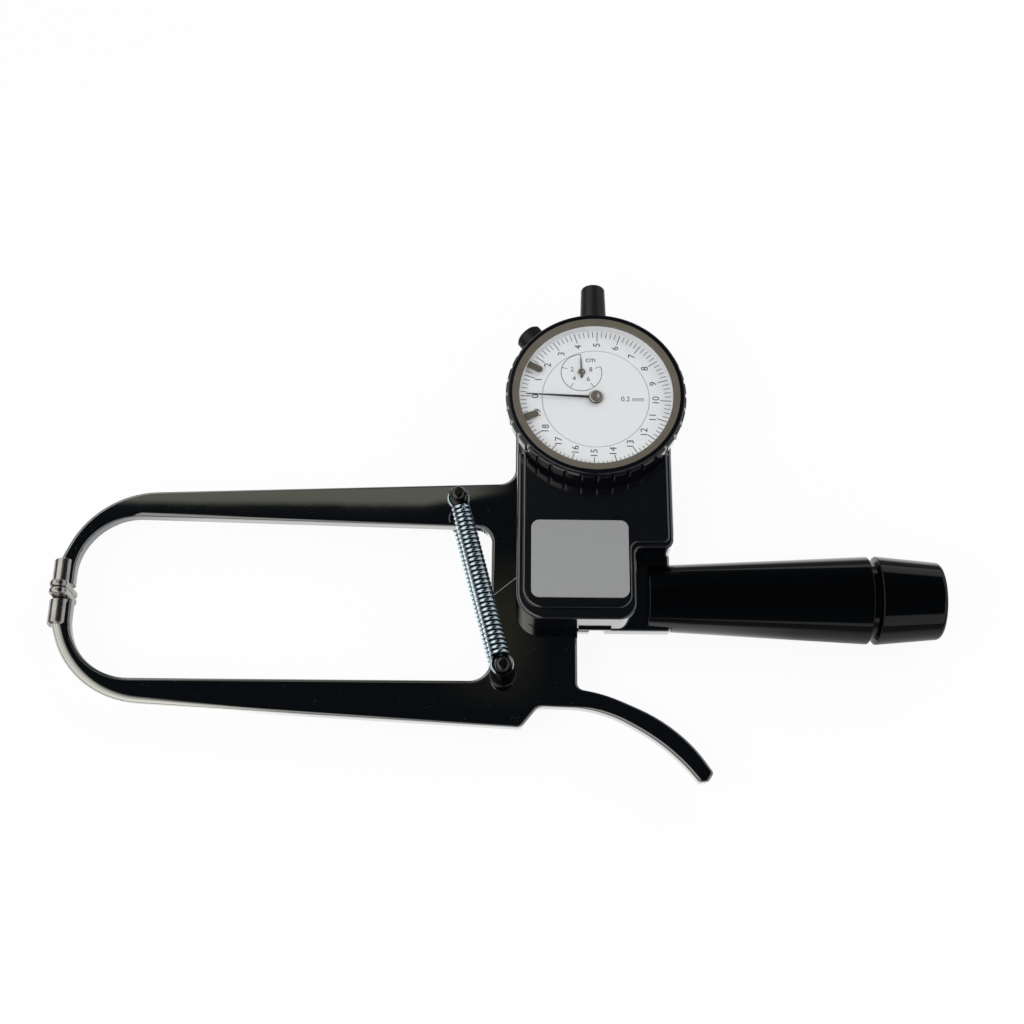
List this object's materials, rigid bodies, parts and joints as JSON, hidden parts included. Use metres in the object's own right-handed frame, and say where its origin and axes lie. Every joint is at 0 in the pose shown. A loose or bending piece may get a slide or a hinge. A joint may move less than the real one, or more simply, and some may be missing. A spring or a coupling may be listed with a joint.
{
  "type": "skinfold caliper",
  "caption": "Skinfold caliper with two sprung jaw arms, small contact pads, a dial gauge driven through a plunger, a curved trigger and a turned grip handle",
  "frame": {"origin": "on the jaw pivot's axis, in the flat back of the rear cover that the caliper lies on", "axes": "+X from the pivot towards the handle, +Y towards the dial, +Z out of the dial's face"},
  "size_m": [0.2817, 0.1666, 0.0363],
  "materials": {
    "black_lacquer": "gloss",
    "black_case": "gloss",
    "handle_plastic": "gloss",
    "nickel": "satin",
    "black_oxide": "satin",
    "zinc_spring": "bright",
    "satin_label": "satin",
    "steel": "ground",
    "brass_work": "machined",
    "dial_white": "matte",
    "pointer_black": "matte",
    "bronze_ring": "satin",
    "crystal_clear": "clear"
  },
  "bodies": {
    "frame": {"fixed_jaw_frame": "black_lacquer", "pivot_pin": "steel", "pivot_clip": "steel", "fixed_jaw_sleeve": "nickel", "fixed_contact_pad": "nickel", "front_upper_spring_post": "black_oxide", "rear_upper_spring_post": "black_oxide", "front_cover": "black_case", "rear_cover": "black_case", "cover_screws": "black_oxide", "rear_cover_screws": "black_oxide", "label_plate": "satin_label", "handle_grip": "handle_plastic", "handle_stud": "steel", "gauge_case": "black_case", "gauge_screws": "black_oxide", "dial_centre_disc": "dial_white", "movement_pillars": "brass_work", "bridge_pillars": "brass_work", "movement_plate": "brass_work", "bridge_plate": "brass_work", "spindle_cap": "black_case"},
    "jaw": {"moving_jaw": "black_lacquer", "pivot_bush": "brass_work", "moving_jaw_sleeve": "nickel", "moving_contact_pad": "nickel", "front_lower_spring_post": "black_oxide", "rear_lower_spring_post": "black_oxide", "drive_pin": "steel"},
    "front_coil": {"front_spring": "zinc_spring"},
    "front_hook": {"front_spring_hook": "zinc_spring"},
    "rear_coil": {"rear_spring": "zinc_spring"},
    "rear_hook": {"rear_spring_hook": "zinc_spring"},
    "spindle": {"plunger": "steel", "contact_tip": "steel"},
    "rack_wheel": {"rack_pinion_wheel": "brass_work"},
    "centre": {"centre_arbor": "steel", "main_pointer": "pointer_black"},
    "counter": {"counter_wheel": "brass_work", "counter_pointer": "pointer_black"},
    "bezel": {"bezel": "black_case", "bezel_ring": "bronze_ring", "crystal": "crystal_clear", "dial_scale_ring": "dial_white"},
    "lower_marker": {"lower_limit_marker": "bronze_ring"},
    "upper_marker": {"upper_limit_marker": "bronze_ring"},
    "clamp_screw": {"bezel_clamp_screw": "black_case"}
  },
  "joints": [
    {"name": "jaw_pivot", "type": "hinge", "parent": "frame", "child": "jaw", "pos_m": [0, 0, 0.014], "axis": [0, 0, 1], "range_deg": [0, 24.5], "stiffness_Nm_per_rad": 0.5, "springref_deg": -143.24},
    {"name": "front_coil_swing", "type": "hinge", "parent": "frame", "child": "front_coil", "pos_m": [-0.0316, 0.0301, 0.014], "axis": [0, 0, 1], "range_deg": [0, 9.34]},
    {"name": "front_hook_pull", "type": "slide", "parent": "front_coil", "child": "front_hook", "axis": [0.2547, -0.967, 0], "range_m": [0, 0.00933]},
    {"name": "rear_coil_swing", "type": "hinge", "parent": "frame", "child": "rear_coil", "pos_m": [-0.0316, 0.0301, 0.014], "axis": [0, 0, 1], "range_deg": [0, 9.34]},
    {"name": "rear_hook_pull", "type": "slide", "parent": "rear_coil", "child": "rear_hook", "axis": [0.2547, -0.967, 0], "range_m": [0, 0.00933]},
    {"name": "spindle_slide", "type": "slide", "parent": "frame", "child": "spindle", "axis": [0, 1, 0], "range_m": [0, 0.00538]},
    {"name": "rack_wheel_turn", "type": "hinge", "parent": "frame", "child": "rack_wheel", "pos_m": [0.0081, 0.0527, 0.014], "axis": [0, 0, 1], "range_deg": [0, 123.19]},
    {"name": "pointer_turn", "type": "hinge", "parent": "frame", "child": "centre", "pos_m": [0.0122, 0.0617, 0.014], "axis": [0, 0, 1], "range_deg": [-1198.5, 0]},
    {"name": "counter_turn", "type": "hinge", "parent": "frame", "child": "counter", "pos_m": [0.0077, 0.071, 0.014], "axis": [0, 0, 1], "range_deg": [0, 239.8]},
    {"name": "bezel_turn", "type": "hinge", "parent": "frame", "child": "bezel", "pos_m": [0.0122, 0.0617, 0.014], "axis": [0, 0, 1], "continuous": true},
    {"name": "lower_marker_turn", "type": "hinge", "parent": "bezel", "child": "lower_marker", "pos_m": [0.0122, 0.0617, 0.014], "axis": [0, 0, 1], "range_deg": [-10, 150]},
    {"name": "upper_marker_turn", "type": "hinge", "parent": "bezel", "child": "upper_marker", "pos_m": [0.0122, 0.0617, 0.014], "axis": [0, 0, 1], "range_deg": [-150, 10]},
    {"name": "clamp_screw_turn", "type": "hinge", "parent": "frame", "child": "clamp_screw", "pos_m": [-0.00656, 0.08511, 0.024], "axis": [-0.6252, 0.7804, 0], "range_deg": [-180, 180]}
  ],
  "couplings": [
    {"joint": "front_coil_swing", "follows": "jaw_pivot", "ratio": 0.37918},
    {"joint": "front_hook_pull", "follows": "jaw_pivot", "m_per_rad": 0.021796},
    {"joint": "rear_coil_swing", "follows": "jaw_pivot", "ratio": 0.37918},
    {"joint": "rear_hook_pull", "follows": "jaw_pivot", "m_per_rad": 0.021796},
    {"joint": "spindle_slide", "follows": "jaw_pivot", "m_per_rad": 0.01256},
    {"joint": "rack_wheel_turn", "follows": "jaw_pivot", "ratio": 5.024},
    {"joint": "pointer_turn", "follows": "jaw_pivot", "ratio": -48.9},
    {"joint": "counter_turn", "follows": "jaw_pivot", "ratio": 9.78}
  ]
}
